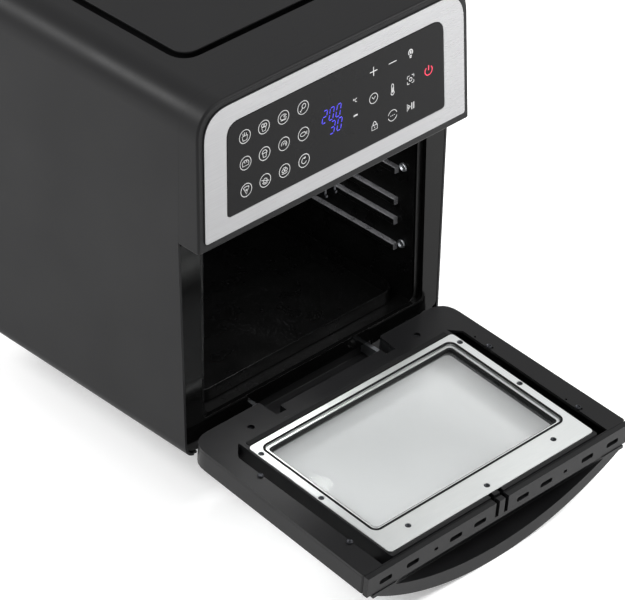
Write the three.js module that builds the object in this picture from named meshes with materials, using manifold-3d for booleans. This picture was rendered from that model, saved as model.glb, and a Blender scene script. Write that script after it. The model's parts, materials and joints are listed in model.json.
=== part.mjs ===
// Air-fryer oven with a touch-panel head and a drop-down glass door, standing open.
// Millimetres, +Z up. The front faces -Y. Everything is first laid out from the lower left corner of
// the head's front, and at the end the whole group is moved so that the origin lies under the middle
// of the outline, at its lowest point.
import * as THREE from 'three';
import { mergeVertices } from 'three/addons/utils/BufferGeometryUtils.js';
import Module from 'manifold-3d';

const wasm = await Module();
wasm.setup();

// ---- Driving dimensions -------------------------------------------------------------------------
const GAP = 0.3; // clearance left between neighbouring pieces
const WIDTH = 300; // nominal width of the oven
const MID = WIDTH / 2;
const DEPTH = 330; // front of the head to the back of the shell
const HEAD_H = 132; // height of the head above the door opening
const BULGE = 2.8; // how far the sides stand out at the foot of the head
const SIDE_LEAN = 0.0235; // the sides draw in by this much per mm above and below that
const TOP_R = 30; // rounding of the top edges
const SKIN = 2.2; // wall of the moulded shell
const SHELL_LOW = -217; // lower edge of the shell
const LOW_R = 14; // rounding of its lower edges
const FACE_LEAN = THREE.MathUtils.degToRad(1.82); // the control face leans back
const STEP = 25.15; // the head overhangs the door frame by this much

const BEZEL = { side: 3.6, low: 8.3, high: 125.8, topR: 27, lowR: 3, thick: 1.2 };
const PANEL = { side: 27.9, low: 23.5, high: 108.5, topR: 14, lowR: 4 };

const FRAME = { side: 21.8, low: -199, sill: -185, top: -9, thick: 4 };
const CAVITY = { x0: 26, x1: 274, y0: 33, y1: 272, z0: -189, z1: -5, sheet: 1 };
const RAILS = { z: [-62, -94, -114, -140], high: 7, deep: 5, y0: 52, y1: 262 };
const FAN = { y: 152, hole: 88, housing: 98 };
const DRIVE = { z: -104, r: 7, motor: 25 }; // rotisserie drive in the left wall, level with the fan axis
const LAMP = { y: 225, z: -35, r: 12, holder: 15 };

const VENT = { side: 41.9, front: 66.7, back: 300, r: 20, groove: 8.5 };
const BASE = { inset: 16.5, y0: 34, y1: 322, z0: -217, high: 21, wall: 2 };
const GLAND = { x: 230, z: -160, r: 8, collar: 11, bore: 4 };
const FOOT = { x: 60, yFront: 75, yBack: 290, r: 14, low: -241.2 };

const PIVOT = { y: 7.9, z: -209.1 }; // hinge axis of the door
const DOOR_TILT = THREE.MathUtils.degToRad(4.74); // the open door hangs this far below level
// The door is laid out flat around its hinge axis: -y to its free edge, +z to its inner side.
const DOOR = {
  out: -4.7, // outer face
  cover: 14.7, // inner cover
  plate: 17.6, // steel plate
  free: -204.1, // free edge
  ear: 12.4, // lower edge of the two ears
  notch: -1.3, // edge between the ears
  earWide: 80,
  earR: 20,
  wall: 2.6,
};
const BOX = { side: 29.6, hinge: -16.6, free: -197.2, wall: 6 }; // raised frame round the window
const PLATE = { side: 30.8, hinge: -26.6, free: -193.6 };
const WINDOW = { side: 38.8, hinge: -32.7, free: -168.5, r: 7 };
const MOAT = { side: 18.3, hinge: -28 }; // channel beside the raised frame
const STRIP = 5.2; // thickness of the strip along the free edge
const LATCH = { x: 5.3, wide: 2.4, slot: 4.2 };
const HANDLE = { free: -205, wide: 22, ends: 8, sag: 39.7, band: 11, pocket: 122, deep: 19.5 };

// ---- Solids -------------------------------------------------------------------------------------
const toSolid = (geometry) => {
  const bare = geometry.clone();
  for (const name of Object.keys(bare.attributes)) {
    if (name !== 'position') bare.deleteAttribute(name);
  }
  const merged = mergeVertices(bare, 1e-4);
  return new wasm.Manifold(
    new wasm.Mesh({
      numProp: 3,
      vertProperties: new Float32Array(merged.attributes.position.array),
      triVerts: new Uint32Array(merged.index.array),
    }),
  );
};

const toGeometry = (solid) => {
  const mesh = solid.getMesh();
  const geometry = new THREE.BufferGeometry();
  geometry.setAttribute('position', new THREE.BufferAttribute(mesh.vertProperties, 3));
  geometry.setIndex(new THREE.BufferAttribute(mesh.triVerts, 1));
  geometry.computeVertexNormals();
  return geometry;
};

const cut = (geometry, ...tools) =>
  toGeometry(tools.reduce((left, tool) => left.subtract(toSolid(tool)), toSolid(geometry)));

const join = (geometry, ...others) =>
  toGeometry(others.reduce((whole, other) => whole.add(toSolid(other)), toSolid(geometry)));

const block = (x0, x1, y0, y1, z0, z1) =>
  new THREE.BoxGeometry(x1 - x0, y1 - y0, z1 - z0).translate((x0 + x1) / 2, (y0 + y1) / 2, (z0 + z1) / 2);

// Prisms: an outline drawn in two axes and drawn out along the third.
const prismZ = (outline, z0, z1, segments = 8) =>
  new THREE.ExtrudeGeometry(outline, { depth: z1 - z0, bevelEnabled: false, curveSegments: segments })
    .translate(0, 0, z0);

const prismY = (outline, y0, y1, segments = 8) =>
  new THREE.ExtrudeGeometry(outline, { depth: y1 - y0, bevelEnabled: false, curveSegments: segments })
    .rotateX(Math.PI / 2)
    .translate(0, y1, 0);

const rod = (radius, length, sides = 20) => new THREE.CylinderGeometry(radius, radius, length, sides);
const rodX = (radius, x0, x1, y, z, sides = 20) =>
  rod(radius, x1 - x0, sides).rotateZ(Math.PI / 2).translate((x0 + x1) / 2, y, z);
const rodY = (radius, x, y0, y1, z, sides = 20) => rod(radius, y1 - y0, sides).translate(x, (y0 + y1) / 2, z);
const rodZ = (radius, x, y, z0, z1, sides = 20) =>
  rod(radius, z1 - z0, sides).rotateX(Math.PI / 2).translate(x, y, (z0 + z1) / 2);

// A polygon with each corner rounded by its own radius. Corners are [x, y, radius].
const roundedOutline = (corners) => {
  const shape = new THREE.Shape();
  const count = corners.length;
  corners.forEach(([x, y, radius], i) => {
    const here = new THREE.Vector2(x, y);
    const before = new THREE.Vector2(...corners[(i + count - 1) % count]).sub(here).normalize();
    const after = new THREE.Vector2(...corners[(i + 1) % count]).sub(here).normalize();
    const half = Math.acos(THREE.MathUtils.clamp(before.dot(after), -1, 1)) / 2;
    const back = radius / Math.tan(half);
    const start = here.clone().addScaledVector(before, back);
    const end = here.clone().addScaledVector(after, back);
    if (i === 0) shape.moveTo(start.x, start.y);
    else shape.lineTo(start.x, start.y);
    if (radius > 0) shape.quadraticCurveTo(here.x, here.y, end.x, end.y);
  });
  shape.closePath();
  return shape;
};

const rectangle = (x0, x1, y0, y1, r = 0) =>
  roundedOutline([[x0, y0, r], [x1, y0, r], [x1, y1, r], [x0, y1, r]]);

// ---- Materials ----------------------------------------------------------------------------------
const finish = (color, roughness, metalness = 0) =>
  new THREE.MeshStandardMaterial({ color, roughness, metalness });
const MATERIALS = {
  shellPlastic: finish('#343434', 0.6),
  glossPlastic: finish('#121212', 0.15),
  doorPlastic: finish('#2c2c2d', 0.5),
  brushedSilver: finish('#c9cacb', 0.35, 0.9),
  steel: finish('#d5d9d9', 0.3, 1),
  cavitySteel: finish('#55565a', 0.4, 0.9),
  blackGlass: finish('#202022', 0.12),
  clearGlass: finish('#cfd4d4', 0.05),
  rubber: finish('#1b1b1b', 0.9),
  board: finish('#1e5a34', 0.7),
  plainMetal: finish('#8d9092', 0.4, 1),
  darkPart: finish('#26282b', 0.6),
};

const oven = new THREE.Group();
const face = new THREE.Group(); // what leans back with the control face
face.rotation.x = -FACE_LEAN;
const door = new THREE.Group(); // what turns on the hinge axis
door.position.set(0, PIVOT.y, PIVOT.z);
door.rotation.x = DOOR_TILT;
oven.add(face, door);

const add = (group, name, material, geometry) => {
  const mesh = new THREE.Mesh(geometry, MATERIALS[material]);
  mesh.name = name;
  group.add(mesh);
};

// ---- Outer shell --------------------------------------------------------------------------------
// Half width lost at a height, because the sides lean in above and below the foot of the head.
const sideAt = (z) => -BULGE + SIDE_LEAN * Math.abs(z);

// Cross-section of the oven between two heights, inset all round except at the foot. Its sides have a
// corner at height 0 where the section starts lower than that.
const section = (low, high, inset, topR, lowR = 0) => {
  const side = (z) => sideAt(z) + inset;
  const corners = [
    [side(low), low, lowR],
    [WIDTH - side(low), low, lowR],
    [WIDTH - side(high), high - inset, topR],
    [side(high), high - inset, topR],
  ];
  if (low < 0) {
    corners.splice(2, 0, [WIDTH - side(0), 0, 0]);
    corners.push([side(0), 0, 0]);
  }
  return roundedOutline(corners);
};

const EAR_SWEEP = { x: 12, y: 26.6, z: FRAME.low }; // the door's ears swing through the shell's front foot
const outerShell = () => {
  const outside = prismY(section(SHELL_LOW, HEAD_H, 0, TOP_R, LOW_R), STEP, DEPTH, 10);
  const room = section(SHELL_LOW + SKIN, HEAD_H, SKIN, TOP_R - SKIN, LOW_R - SKIN);
  const inside = prismY(room, STEP - 1, DEPTH + 1, 10);
  const vent = rectangle(VENT.side, WIDTH - VENT.side, VENT.front, VENT.back, VENT.r);
  const panSide = BASE.inset - GAP;
  const panRoom = block(panSide, WIDTH - panSide, STEP - 1, DEPTH + 1, SHELL_LOW - 1, SHELL_LOW + LOW_R);
  const { x, y, z } = EAR_SWEEP;
  const sweep = block(x, WIDTH - x, STEP - 1, y, SHELL_LOW - 1, z);
  return cut(outside, inside, prismZ(vent, HEAD_H - 10, HEAD_H + 5), panRoom, sweep);
};

// Front of the head: a hollow frame whose face leans back, closed below by the overhang's underside.
const headFascia = () => {
  const body = prismY(section(0, HEAD_H, 0, TOP_R), -3, STEP - GAP, 10);
  const rim = 12;
  const hollow = prismY(
    rectangle(rim, WIDTH - rim, rim, HEAD_H - rim, 12), -20, STEP + 5);
  const ahead = block(-20, WIDTH + 20, -40, 0.8, -40, HEAD_H + 60).rotateX(-FACE_LEAN);
  return cut(body, hollow, ahead);
};

// The vent plate lies in the opening on four posts, and the tray under it closes the head.
const VENT_TRAY = { lip: 12, low: 117, high: 118.2 };
const VENT_PLATE = { thick: 2.2, below: 0.2, post: 6, postX: 90, postY: [110, 260] };
const ventTray = () => {
  const { lip, low, high } = VENT_TRAY;
  return block(VENT.side - lip, WIDTH - VENT.side + lip, VENT.front - lip, VENT.back + lip, low, high);
};

const ventPlate = () => {
  const { side, front, back, r, groove } = VENT;
  const { thick, below, post, postX, postY } = VENT_PLATE;
  const high = HEAD_H - below;
  const outline = rectangle(side + groove, WIDTH - side - groove, front + groove, back - groove, r - 6);
  const posts = postY.flatMap((y) => [postX, WIDTH - postX].map((x) =>
    block(x - post, x + post, y - post, y + post, VENT_TRAY.high + GAP, high - thick / 2)));
  return join(prismZ(outline, high - thick, high), ...posts);
};

add(oven, 'outer_shell', 'shellPlastic', outerShell());
add(oven, 'head_fascia', 'shellPlastic', headFascia());
add(oven, 'top_vent_plate', 'shellPlastic', ventPlate());
add(oven, 'top_vent_tray', 'darkPart', ventTray());

// ---- Control face -------------------------------------------------------------------------------
const bezelOutline = ({ side, low, high, topR, lowR }, grow = 0) => {
  const s = side - grow;
  const draw = SIDE_LEAN * (high - low);
  return roundedOutline([
    [s, low - grow, lowR],
    [WIDTH - s, low - grow, lowR],
    [WIDTH - s - draw, high + grow, topR],
    [s + draw, high + grow, topR],
  ]);
};

const controlBezel = () =>
  cut(prismY(bezelOutline(BEZEL), -0.7, -0.7 + BEZEL.thick, 10),
    prismY(bezelOutline(PANEL, GAP), -5, 5, 10));

add(face, 'control_bezel', 'brushedSilver', controlBezel());
add(face, 'control_glass', 'blackGlass', prismY(bezelOutline(PANEL), -0.9, 2.1, 10));
add(face, 'display_module', 'darkPart', block(126, 176, 2.6, 7, 48, 84));
add(face, 'control_board', 'board', block(34, 266, 7.4, 9, 28, 104));

// ---- Door frame and cavity ----------------------------------------------------------------------
const frontFrame = () => {
  const inset = SKIN + GAP;
  const y1 = STEP + GAP + FRAME.thick;
  const outline = roundedOutline([
    [sideAt(FRAME.low) + inset, FRAME.low, 6],
    [WIDTH - sideAt(FRAME.low) - inset, FRAME.low, 6],
    [WIDTH - sideAt(-3) - inset, -3, 0],
    [sideAt(-3) + inset, -3, 0],
  ]);
  const opening = rectangle(FRAME.side, WIDTH - FRAME.side, FRAME.sill, FRAME.top, 5);
  // Below the frame a thinner skirt closes the shell's front corners, clear of the door's ears.
  const foot = SHELL_LOW + inset;
  const head = FRAME.low + FRAME.thick;
  const skirt = roundedOutline([
    [sideAt(foot) + inset, foot, LOW_R - inset],
    [WIDTH - sideAt(foot) - inset, foot, LOW_R - inset],
    [WIDTH - sideAt(head) - inset, head, 0],
    [sideAt(head) + inset, head, 0],
  ]);
  const whole = join(prismY(outline, STEP + GAP, y1), prismY(skirt, EAR_SWEEP.y + 1, y1));
  const between = block(DOOR.earWide, WIDTH - DOOR.earWide, STEP, y1 + 1, foot - 1, FRAME.low);
  return cut(whole, prismY(opening, 0, 60), between);
};

const cavityFlange = () => {
  const y0 = STEP + 2 * GAP + FRAME.thick;
  const outside = rectangle(12, WIDTH - 12, -194, -2, 4);
  const inside = rectangle(CAVITY.x0 + 2, CAVITY.x1 - 2, CAVITY.z0 + 3, CAVITY.z1 - 3, 10);
  return cut(prismY(outside, y0, y0 + 1), prismY(inside, y0 - 5, y0 + 5));
};

// A pressed shelf rail: a rounded rib along the side wall.
const rail = (x0, x1, z) => {
  const half = RAILS.high / 2;
  return prismY(rectangle(x0, x1, z - half, z + half, 1.6), RAILS.y0, RAILS.y1, 3);
};

const cavitySide = (left) => {
  const { x0, x1, y0, y1, z0, z1, sheet } = CAVITY;
  const wall = left ? block(x0, x0 + sheet, y0, y1, z0, z1) : block(x1 - sheet, x1, y0, y1, z0, z1);
  const ribs = RAILS.z.map((z) =>
    left ? rail(x0 + 0.2, x0 + sheet + RAILS.deep, z) : rail(x1 - sheet - RAILS.deep, x1 - 0.2, z));
  const whole = join(wall, ...ribs);
  if (!left) return whole;
  const driveHole = rodX(DRIVE.r + 2, x0 - 5, x0 + 8, FAN.y, DRIVE.z);
  const lampHole = rodX(LAMP.r, x0 - 5, x0 + 3, LAMP.y, LAMP.z);
  return cut(whole, driveHole, lampHole);
};

const cavityCeiling = () => {
  const { x0, x1, y0, y1, z1, sheet } = CAVITY;
  const plate = block(x0, x1, y0, y1, z1 + GAP, z1 + GAP + sheet);
  return cut(plate, rodZ(FAN.hole, MID, FAN.y, z1 - 5, z1 + 8, 40));
};

add(oven, 'front_frame', 'glossPlastic', frontFrame());
add(oven, 'cavity_flange', 'cavitySteel', cavityFlange());
add(oven, 'cavity_left_wall', 'cavitySteel', cavitySide(true));
add(oven, 'cavity_right_wall', 'cavitySteel', cavitySide(false));
add(oven, 'cavity_ceiling', 'cavitySteel', cavityCeiling());
add(oven, 'cavity_floor', 'cavitySteel',
  block(CAVITY.x0, CAVITY.x1, CAVITY.y0, CAVITY.y1, CAVITY.z0 - GAP - 1, CAVITY.z0 - GAP));
add(oven, 'cavity_back_wall', 'cavitySteel',
  block(CAVITY.x0, CAVITY.x1, CAVITY.y1 + GAP, CAVITY.y1 + GAP + 1, CAVITY.z0, CAVITY.z1));

const dripTray = () => {
  const outline = rectangle(34, 266, 45, 264, 15);
  const hollow = rectangle(35.2, 264.8, 46.2, 262.8, 14);
  return cut(prismZ(outline, CAVITY.z0 + 0.4, -176), prismZ(hollow, CAVITY.z0 + 1.6, -170));
};
add(oven, 'drip_tray', 'cavitySteel', dripTray());

// ---- Fan, heater and motor ----------------------------------------------------------------------
// A ring of section turned about the fan axis. Points are [radius, height] and close on themselves.
const turned = (points, sides = 36) =>
  new THREE.LatheGeometry([...points, points[0]].map(([r, z]) => new THREE.Vector2(r, z)), sides)
    .rotateX(Math.PI / 2)
    .translate(MID, FAN.y, 0);

// The housing over the heater: a flanged wall standing on the ceiling, and a lid on it.
const HOUSING = { low: -3.2, high: 40, flange: 8, bore: 6, sheet: 1 };
const housingWall = () => {
  const { low, high, flange, sheet } = HOUSING;
  const r = FAN.housing;
  return turned([[FAN.hole + 3, low], [r + flange, low], [r + flange, low + sheet], [r, low + sheet],
    [r, high], [r - sheet, high], [r - sheet, low + sheet], [FAN.hole + 3, low + sheet]]);
};
const housingLid = () => {
  const { high, bore, sheet } = HOUSING;
  return turned([[bore, high + GAP], [FAN.housing, high + GAP], [FAN.housing, high + GAP + sheet],
    [bore, high + GAP + sheet]]);
};

const heaterCoil = () => {
  const radius = 74;
  const turn = THREE.MathUtils.degToRad(340);
  class Arc extends THREE.Curve {
    getPoint(t, target = new THREE.Vector3()) {
      const a = turn * t - Math.PI / 2 + 0.17;
      return target.set(MID + radius * Math.cos(a), FAN.y + radius * Math.sin(a), 10);
    }
  }
  const tube = new THREE.Shape().absarc(0, 0, 3.4, 0, Math.PI * 2);
  return new THREE.ExtrudeGeometry(tube, { steps: 44, curveSegments: 4, extrudePath: new Arc() });
};

const heaterGuard = () => {
  const z0 = CAVITY.z1 - 2.4;
  const z1 = CAVITY.z1 - 0.4;
  const ring = ([outer, inner]) =>
    cut(rodZ(outer, MID, FAN.y, z0, z1, 36), rodZ(inner, MID, FAN.y, z0 - 1, z1 + 1, 36));
  const bar = (angle) =>
    block(-FAN.hole - 2, FAN.hole + 2, -1.2, 1.2, z0, z1).rotateZ(angle).translate(MID, FAN.y, 0);
  const rings = [[94, 89], [74, 71.5], [56, 53.5], [38, 35.5], [20, 17.5]].map(ring);
  const bars = [0, 1, 2, 3].map((i) => bar((i * Math.PI) / 4));
  return join(...rings, ...bars);
};

const fanWheel = (radius, z0, z1, blades) => {
  const disc = rodZ(radius, MID, FAN.y, z1 - 1.2, z1, 32);
  const hub = rodZ(8, MID, FAN.y, z0, z1, 20);
  const blade = (i) =>
    block(7, radius - 2, -0.7, 0.7, z0, z1 - 0.5)
      .rotateZ((i * 2 * Math.PI) / blades)
      .translate(MID, FAN.y, 0);
  const whole = join(disc, hub, ...Array.from({ length: blades }, (_, i) => blade(i)));
  return cut(whole, rodZ(SHAFT_R + GAP, MID, FAN.y, z0 - 5, z1 + 5, 20));
};

const MOTOR = { r: 31, low: 48, high: 78, lug: 38, lugWide: 7 };
const SHAFT_R = 3;
const fanMotor = () => {
  const { r, low, high, lug, lugWide } = MOTOR;
  const lugs = block(MID - lug, MID + lug, FAN.y - lugWide, FAN.y + lugWide, low, low + 3);
  const bore = rodZ(SHAFT_R + GAP, MID, FAN.y, low - 8, high + 12, 20);
  return cut(join(rodZ(r, MID, FAN.y, low, high, 28), lugs), bore);
};

const motorBracket = () => {
  const bar = block(MID - 60, MID + 60, FAN.y - 16, FAN.y + 16, 43.4, MOTOR.low - 0.5);
  return cut(bar, rodZ(3 * SHAFT_R, MID, FAN.y, 40, 50, 20));
};

add(oven, 'heater_housing', 'plainMetal', housingWall());
add(oven, 'heater_housing_lid', 'plainMetal', housingLid());
add(oven, 'heater_coil', 'darkPart', heaterCoil());
add(oven, 'heater_guard', 'plainMetal', heaterGuard());
add(oven, 'motor_bracket', 'plainMetal', motorBracket());
add(oven, 'fan_motor', 'darkPart', fanMotor());
add(oven, 'fan_shaft', 'steel', rodZ(SHAFT_R, MID, FAN.y, 16, 100, 20));
add(oven, 'hot_air_fan', 'plainMetal', fanWheel(60, 19, 35, 8));
add(oven, 'cooling_fan', 'darkPart', fanWheel(44, 84, 97, 8));

// ---- Lamp, rotisserie drive, probe and electronics ----------------------------------------------
const LEFT_WALL = CAVITY.x0;
const lampLens = () => rodX(LAMP.r - GAP, LEFT_WALL - 2, LEFT_WALL + 2.4, LAMP.y, LAMP.z, 24);
const lampHolder = () => {
  const { y, z, holder } = LAMP;
  return block(LEFT_WALL - 17, LEFT_WALL - 2.4, y - holder, y + holder, z - holder, z + holder);
};
const driveSocket = () => {
  const half = 3.2; // half of the square hole for the spit
  const body = rodX(DRIVE.r, LEFT_WALL - 4, LEFT_WALL + 9, FAN.y, DRIVE.z, 24);
  const [low, high] = [DRIVE.z - half, DRIVE.z + half];
  const hole = block(LEFT_WALL + 1, LEFT_WALL + 20, FAN.y - half, FAN.y + half, low, high);
  return cut(body, hole);
};
const driveMotor = () => {
  const { z, motor } = DRIVE;
  return block(LEFT_WALL - 20, LEFT_WALL - 4.4, FAN.y - motor, FAN.y + motor, z - motor, z + motor);
};
const powerBoard = () => {
  const board = block(40, 260, 262, 264, 20, 108);
  const transformer = block(70, 110, 263.5, 290, 40, 75);
  const relay = block(150, 176, 263.5, 284, 60, 86);
  return join(board, transformer, relay);
};
add(oven, 'lamp_lens', 'clearGlass', lampLens());
add(oven, 'lamp_holder', 'darkPart', lampHolder());
add(oven, 'rotisserie_socket', 'plainMetal', driveSocket());
add(oven, 'rotisserie_motor', 'darkPart', driveMotor());
add(oven, 'thermostat_probe', 'steel', rodZ(2.2, 60, 250, -30, -5.2, 12));
add(oven, 'power_board', 'board', powerBoard());

// ---- Back and base ------------------------------------------------------------------------------
const rearCover = () => {
  const inset = SKIN + GAP;
  const outline = section(SHELL_LOW + inset, HEAD_H, inset, TOP_R - inset, LOW_R - inset);
  const plate = prismY(outline, DEPTH - 3, DEPTH - 0.5, 10);
  const slots = [];
  for (let row = 0; row < 9; row += 1) {
    const z = 104 - row * 9;
    for (const x of [70, 160]) slots.push(block(x, x + 70, DEPTH - 8, DEPTH + 3, z - 2, z + 2));
  }
  return cut(plate, ...slots, rodY(GLAND.r, GLAND.x, DEPTH - 9, DEPTH + 5, GLAND.z, 24));
};
const cordGland = () => {
  const { x, z, r, collar, bore } = GLAND;
  const neck = rodY(r - GAP, x, DEPTH - 10, DEPTH + 3, z, 24);
  const rim = rodY(collar, x, DEPTH - 0.2, DEPTH + 3, z, 24);
  return cut(join(neck, rim), rodY(bore, x, DEPTH - 12, DEPTH + 6, z, 16));
};
// The base pan's front carries a lip that closes the gap between the door's ears from below, and an
// apron that hides the gap behind them.
const LIP = { side: 80.8, front: 3, low: -217.4, thick: 1.8 };
const APRON = { side: 40, low: -224 };
const basePan = () => {
  const { inset, y0, y1, z0, high, wall } = BASE;
  const outline = rectangle(inset, WIDTH - inset, y0, y1, 8);
  const hollow = rectangle(inset + wall, WIDTH - inset - wall, y0 + wall, y1 - wall, 6);
  const pan = cut(prismZ(outline, z0, z0 + high, 5), prismZ(hollow, z0 + wall, z0 + high + 5, 5));
  const apron = block(APRON.side, WIDTH - APRON.side, y0, y0 + wall, APRON.low, z0 + wall);
  const shelf = block(LIP.side, WIDTH - LIP.side, LIP.front, y0 + wall, LIP.low, LIP.low + LIP.thick);
  return join(pan, apron, shelf);
};
const foot = (x, y) =>
  new THREE.LatheGeometry(
    [[0, FOOT.low], [11, FOOT.low], [12, FOOT.low + 1], [FOOT.r, FOOT.low + 14], [FOOT.r, BASE.z0 - GAP],
      [0, BASE.z0 - GAP]].map(([r, z]) => new THREE.Vector2(r, z)), 24)
    .rotateX(Math.PI / 2)
    .translate(x, y, 0);

add(oven, 'rear_cover', 'shellPlastic', rearCover());
add(oven, 'cord_gland', 'rubber', cordGland());
add(oven, 'base_pan', 'darkPart', basePan());
for (const [side, x] of [['left', FOOT.x], ['right', WIDTH - FOOT.x]]) {
  add(oven, `foot_front_${side}`, 'rubber', foot(x, FOOT.yFront));
  add(oven, `foot_back_${side}`, 'rubber', foot(x, FOOT.yBack));
}

// ---- Hinges and latch ---------------------------------------------------------------------------
// A flat arm from the base pan to the hinge axis, in the gap between the door's ears.
const HINGE = { near: 83, far: 87, arm: 5.6, pin: 3 };
const hingeArm = (x0, x1) => {
  const { arm } = HINGE;
  const bar = block(x0, x1, PIVOT.y, BASE.y0 - GAP, PIVOT.z - arm + 1.7, PIVOT.z + arm);
  const eye = rodX(arm, x0, x1, PIVOT.y, PIVOT.z, 24);
  return cut(join(bar, eye), rodX(HINGE.pin + GAP, x0 - 2, x1 + 2, PIVOT.y, PIVOT.z, 20));
};
for (const [side, mirror] of [['left', false], ['right', true]]) {
  const place = (a, b) => (mirror ? [WIDTH - b, WIDTH - a] : [a, b]);
  add(oven, `hinge_arm_${side}`, 'plainMetal', hingeArm(...place(HINGE.near, HINGE.far)));
  const [a, b] = place(60, HINGE.far + 3);
  add(oven, `hinge_pin_${side}`, 'steel', rodX(HINGE.pin, a, b, PIVOT.y, PIVOT.z, 20));
}
const latchTongue = (x) => {
  const half = LATCH.wide / 2;
  return join(block(x - half, x + half, 9, 19, -13, -GAP), block(x - half, x + half, 7.5, 19, -13, -10.5));
};
add(oven, 'latch_tongue_left', 'plainMetal', latchTongue(MID - LATCH.x));
add(oven, 'latch_tongue_right', 'plainMetal', latchTongue(MID + LATCH.x));

// ---- Door ---------------------------------------------------------------------------------------
const freeDraw = SIDE_LEAN * (DOOR.ear - DOOR.free);
const doorSide = (y) => 1.9 + (freeDraw * (y - DOOR.ear)) / (DOOR.ear - DOOR.free);

// Outline of the door, inset all round, from the free edge to the two ears.
const doorOutline = (inset, free) => {
  const low = doorSide(DOOR.ear) + inset;
  const top = doorSide(free) + inset;
  const ear = DOOR.ear - inset;
  const notch = DOOR.notch - inset;
  const inner = DOOR.earWide - inset;
  const r = DOOR.earR - inset;
  const small = Math.max(3 - inset / 2, 0.5);
  return roundedOutline([
    [top, free, small], [WIDTH - top, free, small],
    [WIDTH - low, ear, r], [WIDTH - inner, ear, small], [WIDTH - inner, notch, 1],
    [inner, notch, 1], [inner, ear, small], [low, ear, r],
  ]);
};

const ARM_ROOM = { x0: HINGE.near - 2.6, x1: HINGE.far + 4.5, y: -8.5 };
const armRoom = () => {
  const { x0, x1, y } = ARM_ROOM;
  return [block(x0, x1, y, 20, -20, 40), block(WIDTH - x1, WIDTH - x0, y, 20, -20, 40)];
};
const pinHoles = () => {
  const r = HINGE.pin + GAP;
  return [rodX(r, 58, 84, 0, 0, 20), rodX(r, WIDTH - 84, WIDTH - 58, 0, 0, 20)];
};
const latchSlots = (z0) => [-1, 1].map((side) => {
  const x = MID + side * LATCH.x;
  return block(x - LATCH.slot / 2, x + LATCH.slot / 2, DOOR.free - 5, DOOR.free + 12, z0, 40);
});

const GLASS_OUT = { side: 14, hinge: -14, free: -176 };
const doorOuterShell = () => {
  const { out, cover, wall, free } = DOOR;
  const top = cover - 2.8;
  const inside = free + STRIP + GAP;
  const body = prismZ(doorOutline(0, inside), out, top, 6);
  const pocket = block(wall + 2, WIDTH - wall - 2, inside - 5, -12, out + 2.2, top + 5);
  const pane = rectangle(GLASS_OUT.side, WIDTH - GAP - GLASS_OUT.side, GLASS_OUT.free, GLASS_OUT.hinge, 4);
  return cut(body, pocket, prismZ(pane, out - 5, out + 6, 4), ...armRoom(), ...pinHoles());
};
const doorOuterGlass = () =>
  prismZ(rectangle(GLASS_OUT.side + GAP, WIDTH - 2 * GAP - GLASS_OUT.side, GLASS_OUT.free + GAP,
    GLASS_OUT.hinge - GAP, 4), DOOR.out + 0.2, DOOR.out + 3.2, 4);

const doorInnerCover = () => {
  const { cover, free } = DOOR;
  const sheet = prismZ(doorOutline(0, free + STRIP + GAP), cover - 2.5, cover, 6);
  const s = MOAT.side;
  const b = BOX.side - GAP;
  const top = BOX.hinge + GAP;
  // The channel beside the raised frame ends in a slanted corner at the hinge side.
  const opening = roundedOutline([
    [s, free - 20, 0], [WIDTH - s, free - 20, 0], [WIDTH - s, MOAT.hinge, 0],
    [WIDTH - b, top, 0], [b, top, 0], [s, MOAT.hinge, 0],
  ]);
  const limit = block(-20, WIDTH + 20, BOX.free - GAP, 40, -20, 40);
  const hole = toGeometry(toSolid(prismZ(opening, cover - 10, cover + 10)).intersect(toSolid(limit)));
  const reach = LATCH.x + LATCH.slot / 2;
  const latchRoom = block(MID - reach, MID + reach, free, free + 12, 0, 40);
  return cut(sheet, hole, latchRoom, ...armRoom());
};

// The strip along the free edge: bevelled towards the inner side, with rows of vent slots.
const SLOT_X = [25, 53, 102.3, 132.8];
const PEG_X = 75.7;
const doorEdgeStrip = () => {
  const { free, cover, out } = DOOR;
  const x0 = doorSide(free);
  const bar = block(x0, WIDTH - x0, free, free + STRIP, out, cover);
  const bevel = block(-20, WIDTH + 20, -6, 0, -4, 9)
    .rotateX(-Math.PI / 4)
    .translate(0, free + 0.4, cover + 0.6);
  const slots = [];
  for (const dx of SLOT_X) {
    for (const side of [-1, 1]) {
      const x = MID + side * dx;
      slots.push(prismY(rectangle(x - 7, x + 7, 1.6, 6.4, 2), free - 5, free + 12, 3));
    }
  }
  for (const side of [-1, 1]) {
    const x = MID + side * PEG_X;
    slots.push(block(x - 2, x + 2, free - 5, free + 12, 2.6, 5.4));
  }
  return cut(bar, bevel, ...slots, ...latchSlots(-1));
};

const HOLLOW = { free: 22, hinge: 12 }; // the raised frame's width at the free edge and at the hinge
const SEAL = { x: 34, y0: -24.8, y1: -20 }; // silicone strip along the hinge side of the raised frame
const doorBox = () => {
  const { side, hinge, free, wall } = BOX;
  const top = DOOR.plate - 1.1;
  const outline = rectangle(side, WIDTH - side, free, hinge, 2);
  const hollow = rectangle(side + wall, WIDTH - side - wall, free + HOLLOW.free, hinge - HOLLOW.hinge, 6);
  const seat = rectangle(SEAL.x - GAP, WIDTH - SEAL.x + GAP, SEAL.y0 - GAP, SEAL.y1 + GAP, 1.5);
  const groove = prismZ(seat, top - 2.4, top + 5);
  return cut(prismZ(outline, DOOR.out + 3.6, top, 4), prismZ(hollow, -20, 40, 5), groove, ...latchSlots(-5));
};
const doorSeal = () => {
  const top = DOOR.plate - 1.1;
  return prismZ(rectangle(SEAL.x, WIDTH - SEAL.x, SEAL.y0, SEAL.y1, 1.5), top - 2, top + 0.6, 4);
};
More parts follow.
